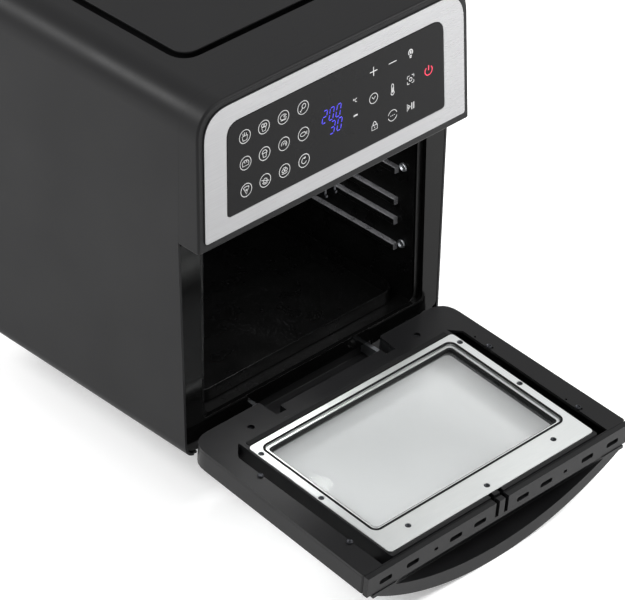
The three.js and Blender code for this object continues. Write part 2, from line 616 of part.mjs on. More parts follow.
const doorPlate = () => {
  const outline = rectangle(PLATE.side, WIDTH - PLATE.side, PLATE.free, PLATE.hinge, 4);
  const window = rectangle(WINDOW.side, WIDTH - WINDOW.side, WINDOW.free, WINDOW.hinge, WINDOW.r);
  const top = DOOR.plate;
  return cut(prismZ(outline, top - 0.8, top, 5), prismZ(window, top - 5, top + 5, 5));
};
// The pane behind the plate lies in the hollow of the raised frame, held down by a rim.
const INNER_GLASS = {
  x: BOX.side + BOX.wall + GAP,
  free: BOX.free + HOLLOW.free + GAP,
  hinge: BOX.hinge - HOLLOW.hinge - GAP,
  low: 8.2,
  high: 11.2,
  rim: 3.2,
};
const doorInnerGlass = () => {
  const { x, free, hinge, low, high } = INNER_GLASS;
  return prismZ(rectangle(x, WIDTH - x, free, hinge, 6), low, high, 5);
};
const doorGlassFrame = () => {
  const { x, free, hinge, high, rim } = INNER_GLASS;
  const outline = rectangle(x, WIDTH - x, free, hinge, 6);
  const hollow = rectangle(x + rim, WIDTH - x - rim, free + rim, hinge - rim, 5);
  return cut(prismZ(outline, high + GAP, DOOR.plate - 1.2, 5), prismZ(hollow, 0, 40, 5));
};

add(door, 'door_outer_shell', 'doorPlastic', doorOuterShell());
add(door, 'door_outer_glass', 'clearGlass', doorOuterGlass());
add(door, 'door_inner_cover', 'doorPlastic', doorInnerCover());
add(door, 'door_edge_strip', 'doorPlastic', doorEdgeStrip());
add(door, 'door_window_frame', 'doorPlastic', doorBox());
add(door, 'door_seal', 'rubber', doorSeal());
add(door, 'door_plate', 'steel', doorPlate());
add(door, 'door_inner_glass', 'clearGlass', doorInnerGlass());
add(door, 'door_glass_frame', 'steel', doorGlassFrame());

// ---- Handle -------------------------------------------------------------------------------------
// A crescent under the free edge, scooped out from the free side for the fingers.
const arcUnder = (half, sag, z) => {
  const shape = new THREE.Shape();
  const r = (half * half + sag * sag) / (2 * sag);
  const a = Math.asin(half / r);
  shape.absarc(MID, z - sag + r, r, -Math.PI / 2 - a, -Math.PI / 2 + a, false);
  shape.closePath();
  return shape;
};
const handle = () => {
  const top = DOOR.out - GAP;
  const { free, wide, ends, sag, band, pocket, deep } = HANDLE;
  const half = MID - ends;
  const crescent = join(prismY(arcUnder(half, sag, top - 3.5), free, free + wide, 40),
    prismY(rectangle(ends - 5, WIDTH - ends + 5, top - 3.6, top, 1), free, free + wide, 3));
  const inner = prismY(arcUnder(half - band - 3, sag - band + 1, top + 1), free - 5, free + wide + 5, 32);
  const plan = new THREE.Shape();
  const r = (pocket * pocket + deep * deep) / (2 * deep);
  const a = Math.asin(pocket / r);
  plan.absarc(MID, free + deep - r, r, Math.PI / 2 - a, Math.PI / 2 + a, false);
  plan.lineTo(MID - pocket, free - 5);
  plan.lineTo(MID + pocket, free - 5);
  plan.closePath();
  const scoop = toSolid(prismZ(plan, -60, 10, 24)).intersect(toSolid(inner));
  return cut(crescent, toGeometry(scoop));
};
add(door, 'door_handle', 'doorPlastic', handle());

// ---- Place the whole object ---------------------------------------------------------------------
oven.updateMatrixWorld(true);
const outline = new THREE.Box3().setFromObject(oven, true);
const middle = outline.getCenter(new THREE.Vector3());
oven.position.set(-middle.x, -middle.y, -outline.min.z);
oven.updateMatrixWorld(true);

export default oven;
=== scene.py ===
# %% [markdown]
# # An air-fryer oven with its door open
#
# This lesson dresses a imported CAD model in Blender. The CAD gives every part its size and place. Here
# the parts get the rounded edges of real mouldings, their finishes, and the small things that the CAD
# leaves out: printed icons, lit digits, screws and drilled holes.
#
# Everything is in metres, in the frame of the CAD. The front of the oven faces -Y.

# %% Load the frame
import json
import math

import bpy
from mathutils import Matrix, Quaternion, Vector

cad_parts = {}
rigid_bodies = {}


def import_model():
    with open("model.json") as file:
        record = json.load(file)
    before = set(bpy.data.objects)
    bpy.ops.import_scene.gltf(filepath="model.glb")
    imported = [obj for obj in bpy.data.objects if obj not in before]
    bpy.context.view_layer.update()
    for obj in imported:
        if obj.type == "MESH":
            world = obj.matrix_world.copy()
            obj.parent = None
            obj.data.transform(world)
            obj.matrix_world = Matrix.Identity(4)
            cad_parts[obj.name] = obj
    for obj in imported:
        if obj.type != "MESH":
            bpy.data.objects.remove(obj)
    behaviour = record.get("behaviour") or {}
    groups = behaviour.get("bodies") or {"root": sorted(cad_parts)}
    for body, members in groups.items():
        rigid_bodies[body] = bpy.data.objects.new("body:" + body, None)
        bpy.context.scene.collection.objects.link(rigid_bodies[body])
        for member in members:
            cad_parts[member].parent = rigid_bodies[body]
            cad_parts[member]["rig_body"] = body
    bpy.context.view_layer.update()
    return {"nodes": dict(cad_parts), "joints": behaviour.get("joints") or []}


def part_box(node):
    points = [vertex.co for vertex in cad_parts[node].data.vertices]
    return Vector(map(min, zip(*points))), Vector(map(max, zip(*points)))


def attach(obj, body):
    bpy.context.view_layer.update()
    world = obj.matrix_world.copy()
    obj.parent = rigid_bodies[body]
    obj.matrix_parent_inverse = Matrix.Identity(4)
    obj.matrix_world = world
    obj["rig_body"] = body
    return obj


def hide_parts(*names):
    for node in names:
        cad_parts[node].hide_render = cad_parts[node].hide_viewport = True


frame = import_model()
MM = 0.001

# %% [markdown]
# ## Two leaning frames
#
# The control face leans back a little, and the open door hangs a little below level. Their details are
# easiest to place in flat coordinates, so each gets a matrix that carries flat coordinates to its real
# place. Both matrices are worked out from the frame: the door's from its hinge, whose upper limit is a
# right angle plus the lean, and the face's from the lower edge of the head.

# %% Where the door and the control face are
hinge = next(joint for joint in frame["joints"] if joint["name"] == "door_hinge")
DOOR_LEAN = math.radians(max(hinge["range_deg"]) - 90)
FACE_LEAN = math.radians(1.82)
GLASS_PROUD = 0.9 * MM  # the control glass stands this far out of the face

glass_low, glass_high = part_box("control_glass")
head_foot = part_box("head_fascia")[0].z
glass_foot = glass_low.z - head_foot
face_y = glass_low.y + GLASS_PROUD * math.cos(FACE_LEAN) - glass_foot * math.tan(FACE_LEAN)

pin_low, pin_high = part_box("hinge_pin_left")
door_pivot = Vector((0, (pin_low.y + pin_high.y) / 2, (pin_low.z + pin_high.z) / 2))

DOOR = Matrix.Translation(door_pivot) @ Matrix.Rotation(DOOR_LEAN, 4, "X")
FACE = Matrix.Translation((0, face_y, head_foot)) @ Matrix.Rotation(-FACE_LEAN, 4, "X")
print("door leans", round(math.degrees(DOOR_LEAN), 2), "degrees about", [round(v, 4) for v in door_pivot])

# %% [markdown]
# ## Colours and nodes
#
# Colours are written as sRGB hex values, as a paint chart gives them, and Blender's sockets want linear
# light, so one function turns the one into the other. A second function adds a shader node with its
# settings and its links in one go, which keeps each material short enough to read.

# %% Helpers for materials
def colour(hex_value):
    channels = [int(hex_value[i : i + 2], 16) / 255 for i in (1, 3, 5)]
    linear = [c / 12.92 if c <= 0.04045 else ((c + 0.055) / 1.055) ** 2.4 for c in channels]
    return (*linear, 1)


def add_node(tree, kind, inputs, **settings):
    node = tree.nodes.new(kind)
    for name, value in settings.items():
        setattr(node, name, value)
    for name, value in inputs.items():
        if isinstance(value, bpy.types.NodeSocket):
            tree.links.new(value, node.inputs[name])
        else:
            node.inputs[name].default_value = value
    return node


def start_material(name, **surface):
    """A new material with its Principled shader's plain values set. Returns it, its tree, shader and coordinates."""
    material = bpy.data.materials.new(name)
    material.use_nodes = True
    tree = material.node_tree
    shader = tree.nodes["Principled BSDF"]
    for socket, value in surface.items():
        shader.inputs[socket.replace("_", " ")].default_value = value
    place = add_node(tree, "ShaderNodeTexCoord", {})
    return material, tree, shader, place.outputs["Object"]


def grain_per_metre(millimetres):
    """The Scale of a pattern whose grains are this many millimetres across."""
    return 1 / (millimetres * MM)


# %% [markdown]
# ## Moulded plastics
#
# The shell is ABS from a spark-eroded mould: matt, with a very fine pebble that breaks up reflections.
# Two noises do this. A fine one drives bump and roughness, and a slow one shifts the colour a little, as
# a large moulding does where the plastic cooled at different speeds. The real pebble is about 0.3 mm, too
# fine to show, so it is drawn about three times as coarse. The same recipe with other numbers makes the
# door, the black inner parts and the rubber, so it is one function of the finish.

# %% A function for grained plastics and rubber
def grained(name, dark, light, rough, grain, depth, drift=70, **surface):
    material, tree, shader, place = start_material(name, **surface)
    fine = add_node(tree, "ShaderNodeTexNoise", {
        "Vector": place, "Scale": grain_per_metre(grain), "Detail": 3.0, "Roughness": 0.6})
    slow = add_node(tree, "ShaderNodeTexNoise", {
        "Vector": place, "Scale": grain_per_metre(drift), "Detail": 2.0})
    both = add_node(tree, "ShaderNodeMath", {0: fine.outputs["Fac"], 1: slow.outputs["Fac"]})
    tint = add_node(tree, "ShaderNodeMapRange", {
        "Value": both.outputs[0], "From Min": 0.7, "From Max": 1.3})
    shade = add_node(tree, "ShaderNodeMix", {
        "Factor": tint.outputs[0], 6: colour(dark), 7: colour(light)}, data_type="RGBA")
    gloss = add_node(tree, "ShaderNodeMapRange", {
        "Value": both.outputs[0], "From Min": 0.7, "From Max": 1.3,
        "To Min": rough - 0.06, "To Max": rough + 0.06})
    bump = add_node(tree, "ShaderNodeBump", {
        "Height": fine.outputs["Fac"], "Strength": 0.35, "Distance": depth * MM})
    tree.links.new(shade.outputs[2], shader.inputs["Base Color"])
    tree.links.new(gloss.outputs[0], shader.inputs["Roughness"])
    tree.links.new(bump.outputs["Normal"], shader.inputs["Normal"])
    return material


textured_abs = grained("textured_abs", "#131314", "#171718", 0.46, 0.9, 0.06, IOR=1.53,
    Specular_IOR_Level=0.14)
satin_abs = grained("satin_abs", "#0e0e0f", "#131314", 0.38, 0.7, 0.04, IOR=1.53, Specular_IOR_Level=0.19)
dark_polypropylene = grained("dark_polypropylene", "#0c0c0d", "#131314", 0.55, 1.2, 0.06, IOR=1.49,
    Specular_IOR_Level=0.2)
silicone_rubber = grained("silicone_rubber", "#0b0b0c", "#141414", 0.72, 1.4, 0.08, IOR=1.41,
    Specular_IOR_Level=0.2)
print("grained finishes:", textured_abs.name, satin_abs.name, dark_polypropylene.name, silicone_rubber.name)

# %% [markdown]
# ## Piano-black plastic and printed glass
#
# The door frame is ABS from a mirror-polished mould, and the control panel is glass printed black from
# behind. Both are nearly mirrors, so what the eye reads is the faint unevenness: a slow ripple in the
# surface, and thin smears that make some patches slightly duller.

# %% Glossy black finishes
def polished(name, base, rough, ripple, smear, **surface):
    material, tree, shader, place = start_material(name, **surface)
    wave = add_node(tree, "ShaderNodeTexNoise", {
        "Vector": place, "Scale": grain_per_metre(ripple), "Detail": 1.0})
    haze = add_node(tree, "ShaderNodeTexNoise", {
        "Vector": place, "Scale": grain_per_metre(smear), "Detail": 4.0, "Distortion": 0.8})
    gloss = add_node(tree, "ShaderNodeMapRange", {
        "Value": haze.outputs["Fac"], "From Min": 0.35, "From Max": 0.7,
        "To Min": rough, "To Max": rough + 0.07})
    shade = add_node(tree, "ShaderNodeMix", {
        "Factor": haze.outputs["Fac"], 6: colour(base[0]), 7: colour(base[1])}, data_type="RGBA")
    bump = add_node(tree, "ShaderNodeBump", {
        "Height": wave.outputs["Fac"], "Strength": 0.12, "Distance": 0.1 * MM})
    tree.links.new(shade.outputs[2], shader.inputs["Base Color"])
    tree.links.new(gloss.outputs[0], shader.inputs["Roughness"])
    tree.links.new(bump.outputs["Normal"], shader.inputs["Normal"])
    return material


piano_black = polished("piano_black", ("#030303", "#060606"), 0.08, 14, 30, IOR=1.53,
    Specular_IOR_Level=0.1)
printed_glass = polished("printed_glass", ("#0d0d0e", "#111112"), 0.16, 30, 40, IOR=1.5,
    Specular_IOR_Level=0.08)
clear_glass = polished("clear_glass", ("#c6caca", "#d0d3d3"), 0.04, 60, 50, IOR=1.5, Alpha=0.1)
tinted_glass = polished("tinted_glass", ("#c4c6c6", "#cacccc"), 0.1, 60, 50, IOR=1.5, Alpha=0.62,
    Specular_IOR_Level=0.2)
print("polished finishes:", piano_black.name, printed_glass.name, clear_glass.name, tinted_glass.name)

# %% [markdown]
# ## Metals
#
# The bezel is brushed and clear-anodised: hair lines run across it, so the noise is stretched along X by
# a Mapping node. The door's plate is plain stainless sheet with a fine mill grain, and the inner brackets
# are galvanised, which shows as crystal patches. A metal's colour is its reflectance, and its IOR stays
# at Blender's default.

# %% Brushed, rolled and galvanised metal
def rolled(name, dull, bright, rough, spread, line, length, depth):
    """Sheet metal whose lines are `line` mm wide and `length` mm long, along X."""
    material, tree, shader, place = start_material(name, Metallic=1.0)
    along = add_node(tree, "ShaderNodeMapping", {
        "Vector": place, "Scale": (line / length, 1.0, 1.0)})
    lines = add_node(tree, "ShaderNodeTexNoise", {
        "Vector": along.outputs[0], "Scale": grain_per_metre(line), "Detail": 3.0})
    slow = add_node(tree, "ShaderNodeTexNoise", {
        "Vector": place, "Scale": grain_per_metre(90), "Detail": 1.0})
    shade = add_node(tree, "ShaderNodeMix", {
        "Factor": lines.outputs["Fac"], 6: colour(dull), 7: colour(bright)}, data_type="RGBA")
    both = add_node(tree, "ShaderNodeMath", {0: lines.outputs["Fac"], 1: slow.outputs["Fac"]})
    gloss = add_node(tree, "ShaderNodeMapRange", {
        "Value": both.outputs[0], "From Min": 0.7, "From Max": 1.3,
        "To Min": rough - spread, "To Max": rough + spread})
    bump = add_node(tree, "ShaderNodeBump", {
        "Height": lines.outputs["Fac"], "Strength": 0.3, "Distance": depth * MM})
    tree.links.new(shade.outputs[2], shader.inputs["Base Color"])
    tree.links.new(gloss.outputs[0], shader.inputs["Roughness"])
    tree.links.new(bump.outputs["Normal"], shader.inputs["Normal"])
    return material


brushed_aluminium = rolled("brushed_aluminium", "#8a8a8b", "#9e9e9f", 0.3, 0.05, 0.5, 40, 0.03)
stainless_sheet = rolled("stainless_sheet", "#dcdfde", "#e8eae9", 0.46, 0.05, 0.6, 12, 0.02)
galvanised_sheet = rolled("galvanised_sheet", "#83868a", "#a4a7aa", 0.42, 0.08, 6, 9, 0.03)
dark_zinc = rolled("dark_zinc", "#26272a", "#3a3b3e", 0.38, 0.08, 0.8, 2, 0.03)
print("metals:", brushed_aluminium.name, stainless_sheet.name, galvanised_sheet.name, dark_zinc.name)

# %% [markdown]
# ## The oven's lining
#
# The cavity is steel with a black non-stick coating, which dries with pale flecks about 1.5 mm across.
# Voronoi cells are a good start for flecks: only the cells whose distance is smallest stay light.

# %% Non-stick coating, circuit board, printed ink and lit segments
material, tree, shader, place = start_material("nonstick_coating", IOR=1.45, Specular_IOR_Level=0.16)
fleck = add_node(tree, "ShaderNodeTexVoronoi", {"Vector": place, "Scale": grain_per_metre(2.2)})
patch = add_node(tree, "ShaderNodeTexNoise", {"Vector": place, "Scale": grain_per_metre(25), "Detail": 3.0})
small = add_node(tree, "ShaderNodeMapRange", {
    "Value": fleck.outputs["Distance"], "From Min": 0.12, "From Max": 0.3, "To Min": 1.0, "To Max": 0.0})
where = add_node(tree, "ShaderNodeMath", {
    0: small.outputs[0], 1: patch.outputs["Fac"]}, operation="MULTIPLY")
shade = add_node(tree, "ShaderNodeMix", {
    "Factor": where.outputs[0], 6: colour("#040404"), 7: colour("#222223")}, data_type="RGBA")
gloss = add_node(tree, "ShaderNodeMapRange", {
    "Value": patch.outputs["Fac"], "From Min": 0.3, "From Max": 0.7, "To Min": 0.22, "To Max": 0.4})
bump = add_node(tree, "ShaderNodeBump", {"Height": where.outputs[0], "Strength": 0.3, "Distance": 0.05 * MM})
tree.links.new(shade.outputs[2], shader.inputs["Base Color"])
tree.links.new(gloss.outputs[0], shader.inputs["Roughness"])
tree.links.new(bump.outputs["Normal"], shader.inputs["Normal"])
nonstick_coating = material

# The upper sides and front ends of the shelf ribs get a paler grey: a painted highlight where light catches them, on
# ribs that carry the same coating as the wall.
rib_highlight_paint = grained("rib_highlight_paint", "#4a4a4c", "#626264", 0.3, 1.2, 0.04, 12, IOR=1.45)
circuit_board = grained("circuit_board", "#123c22", "#1f5c33", 0.4, 3, 0.05, 9)
printed_ink = grained("printed_ink", "#b8b8b8", "#cfcfcf", 0.5, 0.6, 0.01, 20)
blue_led = grained("blue_led", "#1a14a8", "#3a2fd0", 0.4, 0.8, 0.01, 10, Emission_Color=colour("#3a2fd0"),
    Emission_Strength=0.6)
red_led = grained("red_led", "#b81c3a", "#d8284a", 0.4, 0.8, 0.01, 10, Emission_Color=colour("#d8284a"),
    Emission_Strength=0.7)
print("lining flecks every 2.2 mm")

# %% [markdown]
# ## Finishes onto the CAD parts
#
# Each CAD node arrives with a material named after its slot in the record. The name is kept for later,
# and the slot gets the real finish.

# %% Give every CAD node its finish
FINISHES = {
    "shell_plastic": textured_abs,
    "gloss_plastic": piano_black,
    "door_plastic": satin_abs,
    "brushed_silver": brushed_aluminium,
    "bare_steel": stainless_sheet,
    "cavity_steel": nonstick_coating,
    "black_glass": printed_glass,
    "clear_glass": clear_glass,
    "rubber": silicone_rubber,
    "circuit_board": circuit_board,
    "plain_metal": galvanised_sheet,
    "dark_part": dark_polypropylene,
}
slot_of = {}
for name, cad_object in frame["nodes"].items():
    slot_of[name] = cad_object.material_slots[0].material.name
    cad_object.material_slots[0].material = FINISHES[slot_of[name]]
print(len(slot_of), "CAD nodes have a finish")

# %% [markdown]
# ## Helpers for modelling
#
# An operator works on whatever is selected, so the first helper empties the selection. The second adds
# a modifier and applies it. The last one hands a finished piece over: it takes its finish, the CAD body
# it moves with, and the nodes that it stands for.

# %% Select, apply, hand over
def only(piece):
    bpy.ops.object.select_all(action="DESELECT")
    piece.select_set(True)
    bpy.context.view_layer.objects.active = piece


def apply_modifier(piece, kind, **settings):
    only(piece)
    modifier = piece.modifiers.new(kind.title(), kind)
    for name, value in settings.items():
        setattr(modifier, name, value)
    bpy.ops.object.modifier_apply(modifier=modifier.name)


def place_in_mesh(piece, matrix=Matrix.Identity(4)):
    """Carries the piece by a matrix and leaves its object at the origin, with its place in its mesh."""
    only(piece)
    piece.matrix_world = matrix @ piece.matrix_world
    bpy.ops.object.transform_apply(location=True, rotation=True, scale=True)


def hand_over(piece, name, finish, body, stands_for=()):
    piece.name = name
    piece.data.name = name
    piece.data.materials.clear()
    piece.data.materials.append(finish)
    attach(piece, body)
    if stands_for:
        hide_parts(*stands_for)
    return piece


# %% [markdown]
# ## Rounded edges
#
# No moulding or pressing has a knife edge. A rounded edge catches a thin line of light, and that line
# is what makes a black object readable. Each CAD part that shows is copied, the copy's loose triangles
# are merged and its flat areas dissolved to whole faces, and a Bevel modifier rounds every sharp edge.
# The alternative is to bevel by hand; the modifier does the same for all parts with one number each,
# the radius that such a part has.

# %% A copy of a CAD part, as one clean mesh
def clean_copy(node):
    source = frame["nodes"][node]
    piece = bpy.data.objects.new(node + "_fine", source.data.copy())
    bpy.context.scene.collection.objects.link(piece)
    only(piece)
    bpy.ops.object.mode_set(mode="EDIT")
    bpy.ops.mesh.select_all(action="SELECT")
    bpy.ops.mesh.customdata_custom_splitnormals_clear()
    bpy.ops.mesh.remove_doubles(threshold=0.004 * MM)
    bpy.ops.mesh.dissolve_limited(angle_limit=math.radians(0.6))
    bpy.ops.object.mode_set(mode="OBJECT")
    return piece


SHARP = math.radians(32)  # edges that turn more than this are rounded


def smooth(piece):
    """Smooth shading that leaves flat faces flat: large faces decide the normals of the small ones."""
    only(piece)
    bpy.ops.object.shade_smooth_by_angle(angle=math.radians(40))
    apply_modifier(piece, "WEIGHTED_NORMAL", weight=100, keep_sharp=True)


def round_edges(piece, radius, segments=3):
    apply_modifier(piece, "BEVEL", width=radius * MM, segments=segments, limit_method="ANGLE",
        angle_limit=SHARP, use_clamp_overlap=True, miter_outer="MITER_ARC")
    smooth(piece)


def round_some_edges(piece, radius, stays_sharp, segments=3):
    """Rounds the sharp edges whose middle doesn't pass the test."""
    only(piece)
    bpy.ops.object.mode_set(mode="EDIT")
    bpy.ops.mesh.select_mode(type="EDGE")
    bpy.ops.mesh.select_all(action="DESELECT")
    bpy.ops.mesh.edges_select_sharp(sharpness=SHARP)
    bpy.ops.object.mode_set(mode="OBJECT")
    points = piece.data.vertices
    for edge in piece.data.edges:
        ends = [points[i].co for i in edge.vertices]
        if edge.select and stays_sharp((ends[0] + ends[1]) / 2):
            edge.select = False
    bpy.ops.object.mode_set(mode="EDIT")
    bpy.ops.mesh.bevel(offset=radius * MM, segments=segments, affect="EDGES", clamp_overlap=True)
    bpy.ops.object.mode_set(mode="OBJECT")
    smooth(piece)


def stand_in(node, piece):
    """Hands over a finished copy of a CAD part in that part's own finish and body."""
    return hand_over(piece, node + "_fine", FINISHES[slot_of[node]], frame["nodes"][node]["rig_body"],
        [node])


# %% [markdown]
# ## Drilled holes
#
# Screw holes and pin holes are cut with a Boolean modifier, before the edges are rounded, so that each hole
# gets a soft rim as well. The drill is a cylinder added at its place, and all drills of one part are
# joined, so that a single cut does them all.

# %% Drill a piece
def drill(piece, spots, radius, low, high, matrix, sides=20):
    """Cuts round holes at spots (x, y) of a flat frame, from height low to high, all in mm."""
    bpy.ops.object.select_all(action="DESELECT")
    drills = []
    for x, y in spots:
        bpy.ops.mesh.primitive_cylinder_add(vertices=sides, radius=radius * MM, depth=(high - low) * MM,
            location=(x * MM, y * MM, (low + high) / 2 * MM))
        drills.append(bpy.context.object)
    for each in drills:
        each.select_set(True)
    bpy.ops.object.join()
    tool = bpy.context.object
    place_in_mesh(tool, matrix)
    apply_modifier(piece, "BOOLEAN", operation="DIFFERENCE", solver="EXACT", object=tool)
    bpy.data.objects.remove(tool)


# %% [markdown]
# ## Casing
#
# The shell is one wrap-round moulding with generous edges at the front, where a hand meets it. The head's
# fascia continues it, and the joint between them is so tight that it doesn't show. So the edges along
# that joint stay sharp, and the fascia's back is pushed almost up to the shell.

# %% Shell, fascia, base and back
shell_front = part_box("outer_shell")[0].y
fascia_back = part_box("head_fascia")[1].y
NEAR = 0.2 * MM

shell = clean_copy("outer_shell")
round_some_edges(shell, 2.4, lambda p: p.y < shell_front + NEAR and p.z > head_foot - 2 * MM)
stand_in("outer_shell", shell)

fascia = clean_copy("head_fascia")
only(fascia)
bpy.ops.object.mode_set(mode="EDIT")
bpy.ops.mesh.select_mode(type="VERT")
bpy.ops.mesh.select_all(action="DESELECT")
bpy.ops.object.mode_set(mode="OBJECT")
for point in fascia.data.vertices:
    point.select = point.co.y > fascia_back - NEAR
bpy.ops.object.mode_set(mode="EDIT")
bpy.ops.transform.translate(value=(0, shell_front - fascia_back - 0.01 * MM, 0))
bpy.ops.object.mode_set(mode="OBJECT")
round_some_edges(fascia, 2.2, lambda p: p.y > shell_front - NEAR)
stand_in("head_fascia", fascia)
print("shell and fascia:", len(shell.data.polygons), "and", len(fascia.data.polygons), "faces")

CASING = {"front_frame": 0.9, "top_vent_plate": 0.7,
    "rear_cover": 0.5, "base_pan": 0.8, "cord_gland": 0.8, "top_vent_tray": 0.4}
for node, radius in CASING.items():
    piece = clean_copy(node)
    round_edges(piece, radius)
    stand_in(node, piece)
    print(node, len(piece.data.polygons), "faces")

for foot in ("foot_front_left", "foot_front_right", "foot_back_left", "foot_back_right"):
    piece = clean_copy(foot)
    round_edges(piece, 0.8)
    stand_in(foot, piece)

# %% [markdown]
# ## Control face and cavity
#
# The bezel is stamped from thin sheet, so its rims are nearly sharp. The shelf rails are pressed ribs
# with soft shoulders.

# %% Bezel, glass, flange, walls and tray
THIN = {"control_bezel": 0.35, "control_glass": 0.3, "cavity_flange": 0.3, "cavity_left_wall": 1.3,
    "cavity_right_wall": 1.3, "drip_tray": 0.5, "heater_guard": 0.5, "lamp_lens": 0.8,
    "hinge_arm_left": 0.5, "hinge_arm_right": 0.5, "latch_tongue_left": 0.4, "latch_tongue_right": 0.4,
    "rotisserie_socket": 0.6}
for node, radius in THIN.items():
    piece = clean_copy(node)
    round_edges(piece, radius, 2)
    stand_in(node, piece)
    print(node, len(piece.data.polygons), "faces")
for side in ("left", "right"):
    bpy.data.objects[f"latch_tongue_{side}_fine"].data.materials[0] = dark_zinc

# %% [markdown]
# The ribs stand proud of the wall's sheet, so their faces are found by their distance from it. Their upper
# sides and front ends, where light catches them, get a paler coating as the wall's second material: this
# is a painted highlight, not a different finish.

# %% Paint highlights on the ribs
SHEET = 1.4 * MM
for node, side in (("cavity_left_wall", -1), ("cavity_right_wall", 1)):
    wall = bpy.data.objects[node + "_fine"]
    outside = max(side * point.co.x for point in wall.data.vertices)
    wall.data.materials.append(rib_highlight_paint)
    for face in wall.data.polygons:
        proud = side * face.center.x < outside - SHEET
        # Faces that look up or to the front get the paler coating, a painted highlight.
        if proud and (face.normal.z > 0.2 or face.normal.y < -0.5):
            face.material_index = 1
    print(node, sum(face.material_index for face in wall.data.polygons), "rib faces")

# %% [markdown]
# ## Door
#
# The door's inner cover has four screw holes by the hinge and the side channels, and the plate seven
# along its rim. Places are in mm in the door's flat frame: x from the middle, y from the hinge axis
# towards the free edge as minus, z towards the inner side.

# %% Door mouldings, drilled and rounded
COVER_SCREWS = [(-97, -6.6), (97, -6.6)]
SIDE_SCREWS = [(-133.5, -57), (-133.5, -162), (133.5, -57), (133.5, -162)]
PIN_HOLES = [(134, -40), (135, -60), (134, -148), (135, -165)]
PLATE_SCREWS = [(116, -39.3), (-116, -39.3), (116, -110.5), (-116, -110.5), (85, -179.5), (-85, -179.5),
    (0, -185.4)]

cover = clean_copy("door_inner_cover")
drill(cover, COVER_SCREWS, 3.2, 5, 25, DOOR)
drill(cover, PIN_HOLES, 1.1, 5, 25, DOOR, 10)
inner_rim = [DOOR.inverted() @ point.co for point in cover.data.vertices]
cover_top = max(point.z for point in inner_rim)
RIM = 138 * MM  # the rim's edges lie further out than this


def off_the_rim(point):
    flat = DOOR.inverted() @ point
    return flat.z < cover_top - NEAR or (abs(flat.x) < RIM and flat.y < -3 * MM)


round_some_edges(cover, 2.0, off_the_rim)
round_edges(cover, 0.4, 2)
stand_in("door_inner_cover", cover)

plate = clean_copy("door_plate")
drill(plate, PLATE_SCREWS, 2.7, 10, 25, DOOR)
round_edges(plate, 0.2, 2)
stand_in("door_plate", plate)

DOOR_PARTS = {"door_outer_shell": 2.2, "door_edge_strip": 0.6, "door_window_frame": 0.6, "door_seal": 0.6,
    "door_glass_frame": 0.4, "door_outer_glass": 0.3, "door_inner_glass": 0.3, "door_handle": 1.8}
for node, radius in DOOR_PARTS.items():
    piece = clean_copy(node)
    round_edges(piece, radius)
    stand_in(node, piece)
    print(node, len(piece.data.polygons), "faces")

# %% [markdown]
# ## Screws
#
# One pan-head screw with a socket is modelled, then copied. A cylinder is the start. Its top rim is
# bevelled round, and the top face is inset and pushed down to make the socket.

# %% Model one screw
def top_face(piece):
    """Selects only the highest face that looks up, in edit mode."""
    bpy.ops.object.mode_set(mode="OBJECT")
    upward = [face for face in piece.data.polygons if face.normal.z > 0.9]
    best = max(upward, key=lambda face: (round(face.center.z, 6), face.area))
    for face in piece.data.polygons:
        face.select = face.index == best.index
    bpy.ops.object.mode_set(mode="EDIT")


def model_screw(radius, height, socket_sides):
    """A pan-head screw standing on z = 0, in mm."""
    bpy.ops.object.select_all(action="DESELECT")
    bpy.ops.mesh.primitive_cylinder_add(vertices=socket_sides * 4, radius=radius * MM, depth=height * MM,
        location=(0, 0, height / 2 * MM))
    screw = bpy.context.object
    place_in_mesh(screw)
    bpy.ops.object.mode_set(mode="EDIT")
    bpy.ops.mesh.select_mode(type="FACE")
    top_face(screw)
    bpy.ops.mesh.bevel(offset=0.45 * height * MM, segments=3, affect="EDGES")
    top_face(screw)
    bpy.ops.mesh.inset(thickness=0.35 * radius * MM)
    top_face(screw)
    bpy.ops.transform.translate(value=(0, 0, -0.5 * height * MM))
    bpy.ops.object.mode_set(mode="OBJECT")
    bpy.ops.object.shade_smooth_by_angle(angle=math.radians(35))
    return screw


def copies(master, name, places, finish, body):
    """One copy of the master at each matrix, each with its own mesh. The master is removed."""
    made = []
    for number, matrix in enumerate(places, 1):
        piece = bpy.data.objects.new(f"{name}_{number}", master.data.copy())
        bpy.context.scene.collection.objects.link(piece)
        place_in_mesh(piece, matrix)
        made.append(hand_over(piece, f"{name}_{number}", finish, body))
    bpy.data.objects.remove(master)
    print(len(made), name, "pieces")
    return made


def door_spots(spots, z):
    return [DOOR @ Matrix.Translation((x * MM, y * MM, z * MM)) for x, y in spots]


copies(model_screw(2.55, 1.3, 6), "plate_screw", door_spots(PLATE_SCREWS, 15.9), dark_zinc, "door")
copies(model_screw(3.0, 1.4, 6), "cover_screw", door_spots(COVER_SCREWS, 10.6), dark_zinc, "door")
copies(model_screw(2.8, 1.6, 6), "side_screw", door_spots(SIDE_SCREWS, 14.6), dark_zinc, "door")

wall_low, wall_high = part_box("cavity_right_wall")
WALL_SCREWS = [-57, -135]  # heights below the foot of the head
FACE_LEFT = Matrix.Rotation(-math.pi / 2, 4, "Y")  # a screw that stood up now points to -X
wall_places = [
    Matrix.Translation((wall_high.x - 1.0 * MM, wall_low.y + 13 * MM, head_foot + z * MM)) @ FACE_LEFT
    for z in WALL_SCREWS
]
copies(model_screw(4.2, 2.2, 6), "wall_screw", wall_places, galvanised_sheet, "oven")

back_low, back_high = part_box("rear_cover")
FACE_BACK = Matrix.Rotation(-math.pi / 2, 4, "X")  # a screw that stood up now points to +Y
rear_places = [
    Matrix.Translation((x * MM, back_high.y, z * MM)) @ FACE_BACK
    for x in (-118, 0, 118) for z in (72, 380)
]
copies(model_screw(3.4, 1.0, 6), "rear_screw", rear_places, dark_zinc, "oven")

